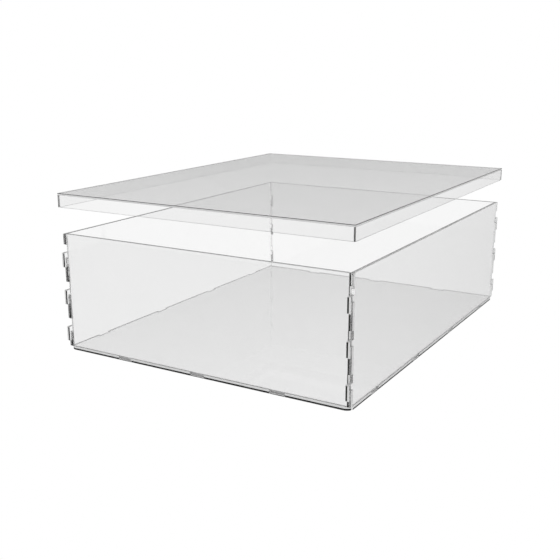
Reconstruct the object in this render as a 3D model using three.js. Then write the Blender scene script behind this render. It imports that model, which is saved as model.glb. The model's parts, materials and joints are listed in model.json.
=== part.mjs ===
// A clear acrylic shoe box with a loose lid, laser cut from flat sheet.
// The base is one flat plate. Four wall panels stand on it with tabs in its edge notches, and at each
// upright corner the side panels hook through notches in the ends of the front and back panels.
// The lid is a plate with four mitred strips under its edge, and it is drawn lifted off the box.
//
// Millimetres. +Z is up, X is the width, Y is the depth with the front at -Y.
// The origin is on the surface the box stands on, under the middle of the base.

import * as THREE from 'three';

// Box
const WIDTH = 280; // across the outer faces of the side panels
const DEPTH = 350; // across the outer faces of the front and back panels
const HEIGHT = 106; // from the underside of the base to the top of the walls
const SHEET = 3; // thickness of the base and the walls
const FIT = 0.3; // clearance where one cut piece passes through another
const SEAM = 0.1; // glue line between bonded faces
const BASE_CORNER_RADIUS = 6;

// Tabs on the lower edges of the walls, in notches along the edges of the base
const TAB_WIDTH = 13.4;
const FRONT_TAB_PITCH = 76.5;
const FRONT_TAB_COUNT = 3;
const SIDE_TAB_PITCH = 87.5;
const SIDE_TAB_COUNT = 4;

// Hooks on the upright edges of the side panels, in notches in the ends of the front and back panels
const HOOK_COUNT = 3;
const HOOK_PITCH = 33.8;
const HOOK_MIDDLE = 50.4; // height of the floor of the middle notch
const HOOK_NECK_HEIGHT = 5; // the part of a hook that passes through its notch
const HOOK_HEAD_DROP = 8; // how far the head hangs below the floor of its notch
const HOOK_CORNER_RADIUS = 1;
const NOTCH_HEIGHT = 12.3;

// Lid
const LID_SHEET = 1.5; // thickness of the lid's plate and strips
const LID_CLEARANCE = 0.3; // between the walls and the strips when the lid is on
const LID_DROP = 12.3; // from the top of the lid to the lower edge of its strips
const LID_TOP = 141.7; // height of the lid's top face as drawn, lifted off
const MITRE_GAP = 0.2;

const ARC_SEGMENTS = 10;
const QUARTER_TURN = Math.PI / 2;

const WALL_BOTTOM = SHEET + SEAM;
const NOTCH_DEPTH = SHEET + FIT;
const LID_OVERHANG = LID_SHEET + LID_CLEARANCE;
const LID_WIDTH = WIDTH + 2 * LID_OVERHANG;
const LID_DEPTH = DEPTH + 2 * LID_OVERHANG;
const RIM_BOTTOM = LID_TOP - LID_DROP;
const RIM_HEIGHT = LID_DROP - LID_SHEET - SEAM;

const frontTabs = evenlySpaced(FRONT_TAB_COUNT, FRONT_TAB_PITCH, 0);
const sideTabs = evenlySpaced(SIDE_TAB_COUNT, SIDE_TAB_PITCH, 0);
const notchFloors = evenlySpaced(HOOK_COUNT, HOOK_PITCH, HOOK_MIDDLE);

function evenlySpaced(count, pitch, middle) {
  return Array.from({ length: count }, (_, index) => middle + (index - (count - 1) / 2) * pitch);
}

// A corner is [u, v] where an outline turns a right angle, or [u, v, radius] where it is rounded.
// Outlines run anticlockwise.
function mirroredAcross(corners) {
  return corners.map(([u, v, radius]) => [-u, v, radius]).reverse();
}

function mirroredUpDown(corners) {
  return corners.map(([u, v, radius]) => [u, -v, radius]).reverse();
}

// Rectangular steps along a lower edge, from left to right: tabs if drop is positive, notches if not.
function stepsAlongBottom(level, centres, width, drop) {
  return centres.flatMap((centre) => [
    [centre - width / 2, level],
    [centre - width / 2, level - drop],
    [centre + width / 2, level - drop],
    [centre + width / 2, level],
  ]);
}

// Rectangular notches cut into a right-hand edge, from bottom to top.
function notchesUpRight(edge, floors, height, depth) {
  return floors.flatMap((floor) => [
    [edge, floor],
    [edge - depth, floor],
    [edge - depth, floor + height],
    [edge, floor + height],
  ]);
}

// Hooks on a right-hand edge, from bottom to top: a neck that reaches out, and a head that hangs from it.
function hooksUpRight(edge, floors) {
  const headBack = edge + SHEET + 2 * FIT;
  const headFront = edge + 2 * SHEET + FIT;
  return floors.flatMap((floor) => {
    const neckBottom = floor + FIT;
    const neckTop = neckBottom + HOOK_NECK_HEIGHT;
    const headBottom = floor - HOOK_HEAD_DROP;
    return [
      [edge, neckBottom],
      [headBack, neckBottom],
      [headBack, headBottom],
      [headFront, headBottom, HOOK_CORNER_RADIUS],
      [headFront, neckTop, HOOK_CORNER_RADIUS],
      [edge, neckTop],
    ];
  });
}

// The point at a distance from one corner towards another.
function towards([u, v], [toU, toV], distance) {
  const scale = distance / Math.hypot(toU - u, toV - v);
  return new THREE.Vector2(u + (toU - u) * scale, v + (toV - v) * scale);
}

function outline(corners) {
  const shape = new THREE.Shape();
  corners.forEach((corner, index) => {
    const radius = corner[2] ?? 0;
    const before = corners.at(index - 1);
    const after = corners[(index + 1) % corners.length];
    const arcStart = towards(corner, before, radius);
    const arcEnd = towards(corner, after, radius);
    if (index === 0) {
      shape.moveTo(arcStart.x, arcStart.y);
    } else {
      shape.lineTo(arcStart.x, arcStart.y);
    }
    if (radius > 0) {
      const centre = arcStart.clone().add(arcEnd).sub(new THREE.Vector2(corner[0], corner[1]));
      const startAngle = Math.atan2(arcStart.y - centre.y, arcStart.x - centre.x);
      const endAngle = Math.atan2(arcEnd.y - centre.y, arcEnd.x - centre.x);
      shape.absarc(centre.x, centre.y, radius, startAngle, endAngle, false);
    }
  });
  shape.closePath();
  return shape;
}

function clearAcrylic() {
  return new THREE.MeshStandardMaterial({
    color: 0xdfe3e3,
    roughness: 0.04,
    metalness: 0,
    transparent: true,
    opacity: 0.3,
  });
}

function plate(name, shape, thickness) {
  const geometry = new THREE.ExtrudeGeometry(shape, {
    depth: thickness,
    bevelEnabled: false,
    curveSegments: ARC_SEGMENTS,
  });
  const mesh = new THREE.Mesh(geometry, clearAcrylic());
  mesh.name = name;
  return mesh;
}

// A plate drawn in width and height, stood upright. Its thickness goes from its place towards -Y.
function uprightPlate(name, shape, thickness) {
  const mesh = plate(name, shape, thickness);
  mesh.rotation.x = QUARTER_TURN;
  return mesh;
}

function basePanel() {
  const notchWidth = TAB_WIDTH + 2 * FIT;
  const cornerU = WIDTH / 2;
  const cornerV = DEPTH / 2;
  const frontEdge = stepsAlongBottom(-cornerV, frontTabs, notchWidth, -NOTCH_DEPTH);
  const rightEdge = sideTabs.flatMap((centre) =>
    notchesUpRight(cornerU, [centre - notchWidth / 2], notchWidth, NOTCH_DEPTH),
  );
  const corners = [
    [-cornerU, -cornerV, BASE_CORNER_RADIUS],
    ...frontEdge,
    [cornerU, -cornerV, BASE_CORNER_RADIUS],
    ...rightEdge,
    [cornerU, cornerV, BASE_CORNER_RADIUS],
    ...mirroredUpDown(frontEdge),
    [-cornerU, cornerV, BASE_CORNER_RADIUS],
    ...mirroredAcross(rightEdge),
  ];
  return plate('base_panel', outline(corners), SHEET);
}

// The outline of a wall panel from its lower edge and its right-hand edge, which the left one mirrors.
function wallOutline(halfLength, tabs, rightEdge) {
  return outline([
    [-halfLength, WALL_BOTTOM],
    ...stepsAlongBottom(WALL_BOTTOM, tabs, TAB_WIDTH, WALL_BOTTOM),
    [halfLength, WALL_BOTTOM],
    ...rightEdge,
    [halfLength, HEIGHT],
    [-halfLength, HEIGHT],
    ...mirroredAcross(rightEdge),
  ]);
}

function endPanel(name) {
  const halfLength = WIDTH / 2;
  const notches = notchesUpRight(halfLength, notchFloors, NOTCH_HEIGHT, NOTCH_DEPTH);
  return uprightPlate(name, wallOutline(halfLength, frontTabs, notches), SHEET);
}

function sidePanel(name) {
  const halfLength = DEPTH / 2 - SHEET - FIT;
  const hooks = hooksUpRight(halfLength, notchFloors);
  return uprightPlate(name, wallOutline(halfLength, sideTabs, hooks), SHEET);
}

function lidPlate() {
  const corners = [
    [-LID_WIDTH / 2, -LID_DEPTH / 2],
    [LID_WIDTH / 2, -LID_DEPTH / 2],
    [LID_WIDTH / 2, LID_DEPTH / 2],
    [-LID_WIDTH / 2, LID_DEPTH / 2],
  ];
  return plate('lid_top', outline(corners), LID_SHEET);
}

// A strip along X with its outer face on y = 0 and both ends mitred inwards.
function rimStrip(name, length) {
  const halfLength = length / 2 - MITRE_GAP;
  const corners = [
    [-halfLength, 0],
    [halfLength, 0],
    [halfLength - LID_SHEET, LID_SHEET],
    [-halfLength + LID_SHEET, LID_SHEET],
  ];
  return plate(name, outline(corners), RIM_HEIGHT);
}

// Puts a mesh at a distance out from the Z axis, on the side that the turn about Z faces.
function placedOnSide(mesh, distance, height, turn) {
  const side = new THREE.Group();
  side.rotation.z = turn;
  mesh.position.set(0, -distance, height);
  side.add(mesh);
  return side;
}

function box() {
  const group = new THREE.Group();
  group.name = 'box';
  const endDistance = DEPTH / 2 - SHEET;
  const sideDistance = WIDTH / 2 - SHEET;
  group.add(basePanel());
  group.add(placedOnSide(endPanel('front_panel'), endDistance, 0, 0));
  group.add(placedOnSide(sidePanel('right_panel'), sideDistance, 0, QUARTER_TURN));
  group.add(placedOnSide(endPanel('back_panel'), endDistance, 0, 2 * QUARTER_TURN));
  group.add(placedOnSide(sidePanel('left_panel'), sideDistance, 0, 3 * QUARTER_TURN));
  return group;
}

function lid() {
  const group = new THREE.Group();
  group.name = 'lid';
  const top = lidPlate();
  top.position.z = LID_TOP - LID_SHEET;
  group.add(top);
  group.add(placedOnSide(rimStrip('lid_rim_front', LID_WIDTH), LID_DEPTH / 2, RIM_BOTTOM, 0));
  group.add(placedOnSide(rimStrip('lid_rim_right', LID_DEPTH), LID_WIDTH / 2, RIM_BOTTOM, QUARTER_TURN));
  group.add(placedOnSide(rimStrip('lid_rim_back', LID_WIDTH), LID_DEPTH / 2, RIM_BOTTOM, 2 * QUARTER_TURN));
  group.add(placedOnSide(rimStrip('lid_rim_left', LID_DEPTH), LID_WIDTH / 2, RIM_BOTTOM, 3 * QUARTER_TURN));
  return group;
}

const shoeBox = new THREE.Group();
shoeBox.name = 'shoe_box';
shoeBox.add(box(), lid());

export default shoeBox;
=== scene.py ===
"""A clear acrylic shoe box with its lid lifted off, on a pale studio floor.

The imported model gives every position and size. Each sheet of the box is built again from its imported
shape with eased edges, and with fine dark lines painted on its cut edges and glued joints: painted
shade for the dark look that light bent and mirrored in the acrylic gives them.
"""
import json
import math
from typing import NamedTuple

import bmesh
import bpy
from mathutils import Matrix, Vector

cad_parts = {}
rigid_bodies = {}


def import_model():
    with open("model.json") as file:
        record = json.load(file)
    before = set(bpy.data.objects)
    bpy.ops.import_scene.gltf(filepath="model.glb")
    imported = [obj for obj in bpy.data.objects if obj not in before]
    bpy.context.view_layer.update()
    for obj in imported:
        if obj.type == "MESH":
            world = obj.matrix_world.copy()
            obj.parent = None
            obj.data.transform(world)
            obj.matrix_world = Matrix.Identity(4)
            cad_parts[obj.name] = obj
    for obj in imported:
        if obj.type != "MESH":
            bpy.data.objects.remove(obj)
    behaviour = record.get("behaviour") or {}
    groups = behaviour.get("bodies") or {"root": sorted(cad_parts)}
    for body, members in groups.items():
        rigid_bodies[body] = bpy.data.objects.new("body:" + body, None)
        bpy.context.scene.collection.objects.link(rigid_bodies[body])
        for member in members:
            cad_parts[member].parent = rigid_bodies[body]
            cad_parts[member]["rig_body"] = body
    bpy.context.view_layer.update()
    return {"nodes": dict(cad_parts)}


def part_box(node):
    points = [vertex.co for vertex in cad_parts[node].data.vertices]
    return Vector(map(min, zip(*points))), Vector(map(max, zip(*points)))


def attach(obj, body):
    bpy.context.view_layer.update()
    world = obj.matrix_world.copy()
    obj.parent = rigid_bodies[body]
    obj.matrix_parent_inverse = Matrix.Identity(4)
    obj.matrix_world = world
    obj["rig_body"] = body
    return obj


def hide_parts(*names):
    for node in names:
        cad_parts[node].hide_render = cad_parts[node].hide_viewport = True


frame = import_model()
boxes = {name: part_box(name) for name in frame["nodes"]}

MM = 0.001
X, Y, Z = 0, 1, 2
AXIS_VECTORS = (Vector((1, 0, 0)), Vector((0, 1, 0)), Vector((0, 0, 1)))

# Camera
CAMERA_AZIMUTH = math.radians(30.49)
CAMERA_ELEVATION = math.radians(14.85)
CAMERA_ROLL = math.radians(0.11)
CAMERA_DISTANCE = 0.8255
CAMERA_AIM = Vector((-0.0152, -0.0140, 0.0438))
CAMERA_LENS = 54.30  # millimetres
CAMERA_SENSOR = 36  # millimetres
CAMERA_FAR = 100

# Studio
SKY_GREY = 0.48
WHITE = 1.0
HORIZON_START = math.sin(math.radians(4))  # the light begins to turn grey
HORIZON_END = math.sin(math.radians(6))  # the light is all grey
FLOOR_HALF_SIZE = 20
FLOOR_DROP = 0.5 * MM
FLOOR_REFLECTED = 0.33  # brightness of the floor in what the acrylic mirrors
LIGHT_BOUNCES = 160  # enough for light to leave a sheet that it runs along

# Sizes of the box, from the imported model
HALF_WIDTH = boxes["base_panel"][1].x
HALF_DEPTH = boxes["base_panel"][1].y
SHEET = boxes["base_panel"][1].z
WALL_TOP = boxes["front_panel"][1].z
HOOK_TIP = boxes["right_panel"][1].y
LID_HALF_WIDTH = boxes["lid_top"][1].x
LID_HALF_DEPTH = boxes["lid_top"][1].y
LID_TOP = boxes["lid_top"][1].z
JOINT = HALF_WIDTH - SHEET  # where the side panels' inner faces meet the end panels

# Widths of the dark lines of painted shade
JOINT_LINE = 1.5 * MM  # on the joints at the upright corners
JOINT_OVERLAP = 0.1 * MM  # how far a joint line reaches in past the joint
JOINT_LINE_START = JOINT - JOINT_OVERLAP
JOINT_LINE_END = JOINT_LINE_START + JOINT_LINE
CORNER_LINE = 0.35 * MM  # down the outer edges of the end panels
BASE_END_LINE = 1.6 * MM  # up from the foot of the base, at its front and back
BASE_SIDE_LINE = 1.4 * MM  # up from the foot of the base, at its sides
TAB_LINE = 0.5 * MM  # up from the foot of the tabs
END_TOP_LINE = 1.2 * MM  # on the tops of the end panels, from the inner face
SIDE_TOP_LINE = 0.8 * MM  # on the tops of the side panels, from the inner face
LID_TOP_LINE = 0.45 * MM  # down from the lid's upper edge
LID_CORNER_LINE = 0.75 * MM  # round the lid's corners, on each side

# Finishing of the sheets
EASED = 0.12 * MM  # chamfer on every sharp edge
WELD = 0.001 * MM  # how close two corners have to be to count as one
HEIGHT_DIGITS = 5  # decimals of a metre that tell heights apart
FLAT_ANGLE = math.radians(0.5)
SHARP_ANGLE = math.radians(60)
UPRIGHT = 0.9  # a normal's share along an axis above which a face is square to it

# Acrylic. A grain is how many waves there are to a metre.
REFRACTION = 1.49
TINTS = {"base": 0.992, "wall": 0.935, "lid": 0.97, "rim": 0.94}
TINT_SPREAD = 0.006
FACE_GRAIN = 25
FACE_WAVE = 0.01 * MM
FACE_ROUGHNESS = 0.01
EDGE_TINT = 0.96
EDGE_CLEARNESS = 0.2
EDGE_ROUGHNESS = 0.3
RIB_GRAIN = 900  # along a cut edge
RIB_GRAIN_ACROSS = 20  # across the sheet's thickness, where the ribs run straight
RIB_HEIGHT = 0.005 * MM
# Painted shade: the black of the lines on cut edges, joints and corners
SHADE_LINE_TINT = 0.0
# Painted shade made paler on the back joints, where the acrylic looks less dark
PALE_SHADE_TINT = 0.6
LINE_GRAIN = 300
LINE_WAVE = 0.01 * MM
LINE_ROUGHNESS = 0.1

# Material slots of every finished sheet; LINE and PALE_LINE are painted shade
FACE, EDGE, LINE, PALE_LINE = range(4)


def make_camera():
    """Looks down at the box from the front right."""
    across = math.cos(CAMERA_ELEVATION)
    view = Vector((
        -math.sin(CAMERA_AZIMUTH) * across,
        math.cos(CAMERA_AZIMUTH) * across,
        -math.sin(CAMERA_ELEVATION),
    ))
    data = bpy.data.cameras.new("camera")
    data.lens = CAMERA_LENS
    data.sensor_width = CAMERA_SENSOR
    data.clip_end = CAMERA_FAR
    camera = bpy.data.objects.new("camera", data)
    camera.location = CAMERA_AIM - view * CAMERA_DISTANCE
    level = view.to_track_quat("-Z", "Y").to_matrix()
    camera.rotation_euler = (level @ Matrix.Rotation(-CAMERA_ROLL, 3, "Z")).to_euler()
    bpy.context.scene.collection.objects.link(camera)
    bpy.context.scene.camera = camera


def make_light():
    """Lights the box with white up to the horizon and an even soft grey above it.

    The backdrop itself is white all over.
    """
    world = bpy.data.worlds.new("studio")
    world.use_nodes = True
    nodes = world.node_tree.nodes
    links = world.node_tree.links
    background = nodes["Background"]
    direction = nodes.new("ShaderNodeTexCoord")
    height = nodes.new("ShaderNodeSeparateXYZ")
    brightness = nodes.new("ShaderNodeMapRange")
    brightness.inputs["From Min"].default_value = HORIZON_START
    brightness.inputs["From Max"].default_value = HORIZON_END
    brightness.inputs["To Min"].default_value = WHITE
    brightness.inputs["To Max"].default_value = SKY_GREY
    path = nodes.new("ShaderNodeLightPath")
    backdrop = nodes.new("ShaderNodeMath")
    backdrop.operation = "MAXIMUM"
    links.new(direction.outputs["Generated"], height.inputs["Vector"])
    links.new(height.outputs["Z"], brightness.inputs["Value"])
    links.new(brightness.outputs["Result"], backdrop.inputs[0])
    links.new(path.outputs["Is Camera Ray"], backdrop.inputs[1])
    links.new(backdrop.outputs["Value"], background.inputs["Color"])
    scene = bpy.context.scene
    scene.world = world
    scene.view_settings.view_transform = "Standard"
    scene.cycles.max_bounces = LIGHT_BOUNCES
    scene.cycles.transmission_bounces = LIGHT_BOUNCES
    scene.cycles.glossy_bounces = LIGHT_BOUNCES


def floor_material():
    """Glows an even white, and is dimmer where the acrylic mirrors it."""
    material = bpy.data.materials.new("floor_white")
    material.use_nodes = True
    nodes = material.node_tree.nodes
    links = material.node_tree.links
    nodes.clear()
    output = nodes.new("ShaderNodeOutputMaterial")
    glow = nodes.new("ShaderNodeEmission")
    path = nodes.new("ShaderNodeLightPath")
    mirrored = nodes.new("ShaderNodeMath")
    mirrored.operation = "SUBTRACT"
    strength = nodes.new("ShaderNodeMapRange")
    strength.inputs["To Min"].default_value = WHITE
    strength.inputs["To Max"].default_value = FLOOR_REFLECTED
    links.new(path.outputs["Is Reflection Ray"], mirrored.inputs[0])
    links.new(path.outputs["Is Diffuse Ray"], mirrored.inputs[1])
    links.new(mirrored.outputs["Value"], strength.inputs["Value"])
    links.new(strength.outputs["Result"], glow.inputs["Strength"])
    links.new(glow.outputs["Emission"], output.inputs["Surface"])
    return material


def make_floor():
    """Puts a wide flat floor just under the box."""
    mesh = bpy.data.meshes.new("floor")
    shape = bmesh.new()
    bmesh.ops.create_grid(shape, x_segments=1, y_segments=1, size=FLOOR_HALF_SIZE)
    shape.to_mesh(mesh)
    shape.free()
    mesh.materials.append(floor_material())
    floor = bpy.data.objects.new("floor", mesh)
    floor.location.z = -FLOOR_DROP
    bpy.context.scene.collection.objects.link(floor)


def acrylic(name, tint, grain, depth, roughness, clearness=1):
    """Clear acrylic whose tint, gloss and surface waver along a grain.

    grain is how many waves there are to a metre along x, y and z, depth is the height of the waves,
    roughness is the most that they dull the gloss, and clearness is how much light goes straight in.
    """
    material = bpy.data.materials.new(name)
    material.use_nodes = True
    nodes = material.node_tree.nodes
    links = material.node_tree.links
    shader = nodes["Principled BSDF"]
    shader.inputs["Transmission Weight"].default_value = clearness
    shader.inputs["IOR"].default_value = REFRACTION
    place = nodes.new("ShaderNodeTexCoord")
    stretched = nodes.new("ShaderNodeMapping")
    stretched.inputs["Scale"].default_value = grain
    waves = nodes.new("ShaderNodeTexNoise")
    waves.inputs["Scale"].default_value = 1
    colour = nodes.new("ShaderNodeMapRange")
    colour.inputs["To Min"].default_value = max(tint - TINT_SPREAD, 0)
    colour.inputs["To Max"].default_value = min(tint + TINT_SPREAD, 1)
    gloss = nodes.new("ShaderNodeMapRange")
    gloss.inputs["To Max"].default_value = roughness
    relief = nodes.new("ShaderNodeBump")
    relief.inputs["Distance"].default_value = depth
    links.new(place.outputs["Object"], stretched.inputs["Vector"])
    links.new(stretched.outputs["Vector"], waves.inputs["Vector"])
    links.new(waves.outputs["Fac"], colour.inputs["Value"])
    links.new(waves.outputs["Fac"], gloss.inputs["Value"])
    links.new(waves.outputs["Fac"], relief.inputs["Height"])
    links.new(colour.outputs["Result"], shader.inputs["Base Color"])
    links.new(gloss.outputs["Result"], shader.inputs["Roughness"])
    links.new(relief.outputs["Normal"], shader.inputs["Normal"])
    return material


def polished_face(kind):
    """The sheet's factory face, almost flat, with slow waves."""
    grain = [FACE_GRAIN] * 3
    return acrylic(kind + "_face", TINTS[kind], grain, FACE_WAVE, FACE_ROUGHNESS)


def cut_edge(thin_axis):
    """A laser-cut edge, hazy, with fine ribs that run straight across the sheet's thickness."""
    grain = [RIB_GRAIN] * 3
    grain[thin_axis] = RIB_GRAIN_ACROSS
    name = "cut_edge_" + "xyz"[thin_axis]
    return acrylic(name, EDGE_TINT, grain, RIB_HEIGHT, EDGE_ROUGHNESS, EDGE_CLEARNESS)


def shade_line_material(name, tint):
    """Painted shade: nearly black acrylic where a cut edge or a glued joint looks dark from light that
    the sheet bends and mirrors.
    """
    return acrylic(name, tint, [LINE_GRAIN] * 3, LINE_WAVE, LINE_ROUGHNESS)


def kind_of(name):
    """Which of the tints a piece has."""
    if name == "base_panel":
        return "base"
    if name == "lid_top":
        return "lid"
    if name.startswith("lid_rim"):
        return "rim"
    return "wall"


def thin_axis_of(name):
    """The axis along the thickness of a piece's sheet."""
    low, high = boxes[name]
    return min((X, Y, Z), key=lambda axis: high[axis] - low[axis])


def hook_levels():
    """Heights of the lower and upper ends of each hook's flat front, from the lowest up."""
    corners = [corner.co for corner in frame["nodes"]["right_panel"].data.vertices]
    return sorted({round(corner.z, HEIGHT_DIGITS) for corner in corners if corner.y > HOOK_TIP - WELD})


HOOK_LEVELS = hook_levels()


def behind_hook(height):
    """Whether the head of a hook stands in front of an end panel at this height."""
    return any(low < height < high for low, high in zip(HOOK_LEVELS[::2], HOOK_LEVELS[1::2]))


class Spot(NamedTuple):
    """A face's place, with x and y counted outwards from the middle of the box."""

    middle: Vector
    normal: Vector
    joint: int  # the painted shade line that the joints have at this end of the box, paler at the back


# Each of these says which slot of painted shade a face's line has, or None where the sheet is left
# plain.


def end_panel_line(spot):
    """Lines of the front and back panels."""
    middle = spot.middle
    on_outside = middle.y > HALF_DEPTH - EASED
    if middle.z > WALL_TOP - EASED and middle.y < HALF_DEPTH - SHEET + END_TOP_LINE:
        return LINE
    if middle.z < TAB_LINE:
        return LINE if on_outside else None
    if on_outside and JOINT_LINE_START < middle.x < JOINT_LINE_END and not behind_hook(middle.z):
        return spot.joint
    if on_outside and middle.x > HALF_WIDTH - CORNER_LINE:
        return spot.joint
    if spot.normal.x > UPRIGHT and middle.x < JOINT and middle.y > HALF_DEPTH - JOINT_LINE:
        return spot.joint
    return None


def side_panel_line(spot):
    """Lines of the left and right panels, whose upright ends are as clear as their faces."""
    middle = spot.middle
    if middle.z > WALL_TOP - EASED and middle.x < JOINT + SIDE_TOP_LINE:
        return LINE
    if middle.z < TAB_LINE:
        return LINE if middle.x > HALF_WIDTH - EASED else None
    if middle.y > HOOK_TIP - EASED and middle.x < JOINT + JOINT_LINE:
        return spot.joint
    if spot.normal.y > UPRIGHT and middle.y < HALF_DEPTH - SHEET:
        return FACE
    return None


def base_line(spot):
    """Lines along the base's outer edges."""
    middle = spot.middle
    if abs(spot.normal.z) > UPRIGHT:
        return None
    if middle.y > HALF_DEPTH - SHEET and spot.normal.y > 0 and middle.z < BASE_END_LINE:
        return LINE
    if middle.x > HALF_WIDTH - EASED and middle.z < BASE_SIDE_LINE:
        return LINE
    return None


def lid_top_line(spot):
    """Line around the lid's upper edge."""
    on_rim = max(spot.middle.x - LID_HALF_WIDTH, spot.middle.y - LID_HALF_DEPTH) > -EASED
    return LINE if on_rim and spot.middle.z > LID_TOP - LID_TOP_LINE else None


def rim_line(spot):
    """Lines down the lid's corners."""
    from_side = LID_HALF_WIDTH - spot.middle.x
    from_end = LID_HALF_DEPTH - spot.middle.y
    on_outside = min(from_side, from_end) < EASED
    return LINE if on_outside and max(from_side, from_end) < LID_CORNER_LINE else None


def cuts_of(name):
    """Where a sheet's faces are divided along x, y and z, and the function that finds its lines."""
    if name in ("front_panel", "back_panel"):
        across = [JOINT_LINE_START, JOINT_LINE_END, HALF_WIDTH - CORNER_LINE]
        through = [HALF_DEPTH - SHEET + END_TOP_LINE, HALF_DEPTH - JOINT_LINE]
        return (across, through, [TAB_LINE, *HOOK_LEVELS]), end_panel_line
    if name in ("left_panel", "right_panel"):
        return ([JOINT + SIDE_TOP_LINE, JOINT + JOINT_LINE], [], [TAB_LINE]), side_panel_line
    if name == "base_panel":
        return ([], [], [BASE_END_LINE, BASE_SIDE_LINE]), base_line
    if name == "lid_top":
        return ([], [], [LID_TOP - LID_TOP_LINE]), lid_top_line
    return ([LID_HALF_WIDTH - LID_CORNER_LINE], [LID_HALF_DEPTH - LID_CORNER_LINE], []), rim_line


def divide(shape, axis, place):
    """Adds edges where a plane square to an axis passes, and leaves the shape as it is."""
    bmesh.ops.bisect_plane(
        shape,
        geom=shape.verts[:] + shape.edges[:] + shape.faces[:],
        plane_co=AXIS_VECTORS[axis] * place,
        plane_no=AXIS_VECTORS[axis],
        dist=WELD,
    )


def ease_edges(shape):
    """Takes a fine chamfer off every sharp edge."""
    sharp = [edge for edge in shape.edges if edge.is_manifold and edge.calc_face_angle() > SHARP_ANGLE]
    bmesh.ops.bevel(shape, geom=sharp, offset=EASED, segments=1, affect="EDGES", clamp_overlap=True)


def outwards(vector, middle):
    """A vector with x and y turned so that they count outwards from the middle of the box."""
    return Vector((
        math.copysign(1, middle.x) * vector.x,
        math.copysign(1, middle.y) * vector.y,
        vector.z,
    ))


def finish_faces(shape, thin_axis, line_of):
    """Leaves every face flat and gives it its material slot. The painted shade on the joint lines at
    the back is paler.
    """
    for face in shape.faces:
        face.smooth = False
        middle = face.calc_center_median()
        # Painted shade on the joints, paler at the back of the box
        joint = LINE if middle.y < 0 else PALE_LINE
        line = line_of(Spot(outwards(middle, middle), outwards(face.normal, middle), joint))
        plain = EDGE if abs(face.normal[thin_axis]) < UPRIGHT else FACE
        face.material_index = plain if line is None else line


def sheet_mesh(name, packed_mesh):
    """A sheet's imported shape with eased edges, divided where its lines end."""
    cuts, line_of = cuts_of(name)
    shape = bmesh.new()
    shape.from_mesh(packed_mesh)
    bmesh.ops.remove_doubles(shape, verts=shape.verts, dist=WELD)
    bmesh.ops.dissolve_limit(shape, angle_limit=FLAT_ANGLE, verts=shape.verts, edges=shape.edges)
    ease_edges(shape)
    for axis, places in enumerate(cuts):
        for place in places:
            divide(shape, axis, place)
            if axis != Z:  # the left and right sides are alike, and so are the front and back
                divide(shape, axis, -place)
    finish_faces(shape, thin_axis_of(name), line_of)
    mesh = bpy.data.meshes.new(name + "_sheet")
    shape.to_mesh(mesh)
    shape.free()
    return mesh


def finished_sheet(name, node, materials):
    """A sheet of the box or the lid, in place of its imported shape."""
    mesh = sheet_mesh(name, node.data)
    for material in materials:
        mesh.materials.append(material)
    sheet = bpy.data.objects.new(name + "_sheet", mesh)
    bpy.context.scene.collection.objects.link(sheet)
    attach(sheet, node["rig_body"])
    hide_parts(name)


face_materials = {kind: polished_face(kind) for kind in TINTS}
edge_materials = [cut_edge(axis) for axis in (X, Y, Z)]
# Materials of the painted shade lines, dark at the front and paler at the back
line_materials = (shade_line_material("painted_shade_line", SHADE_LINE_TINT), shade_line_material("painted_pale_shade_line", PALE_SHADE_TINT))

make_camera()
make_light()
make_floor()
for node_name, cad_node in frame["nodes"].items():
    face_material = face_materials[kind_of(node_name)]
    edge_material = edge_materials[thin_axis_of(node_name)]
    finished_sheet(node_name, cad_node, (face_material, edge_material, *line_materials))
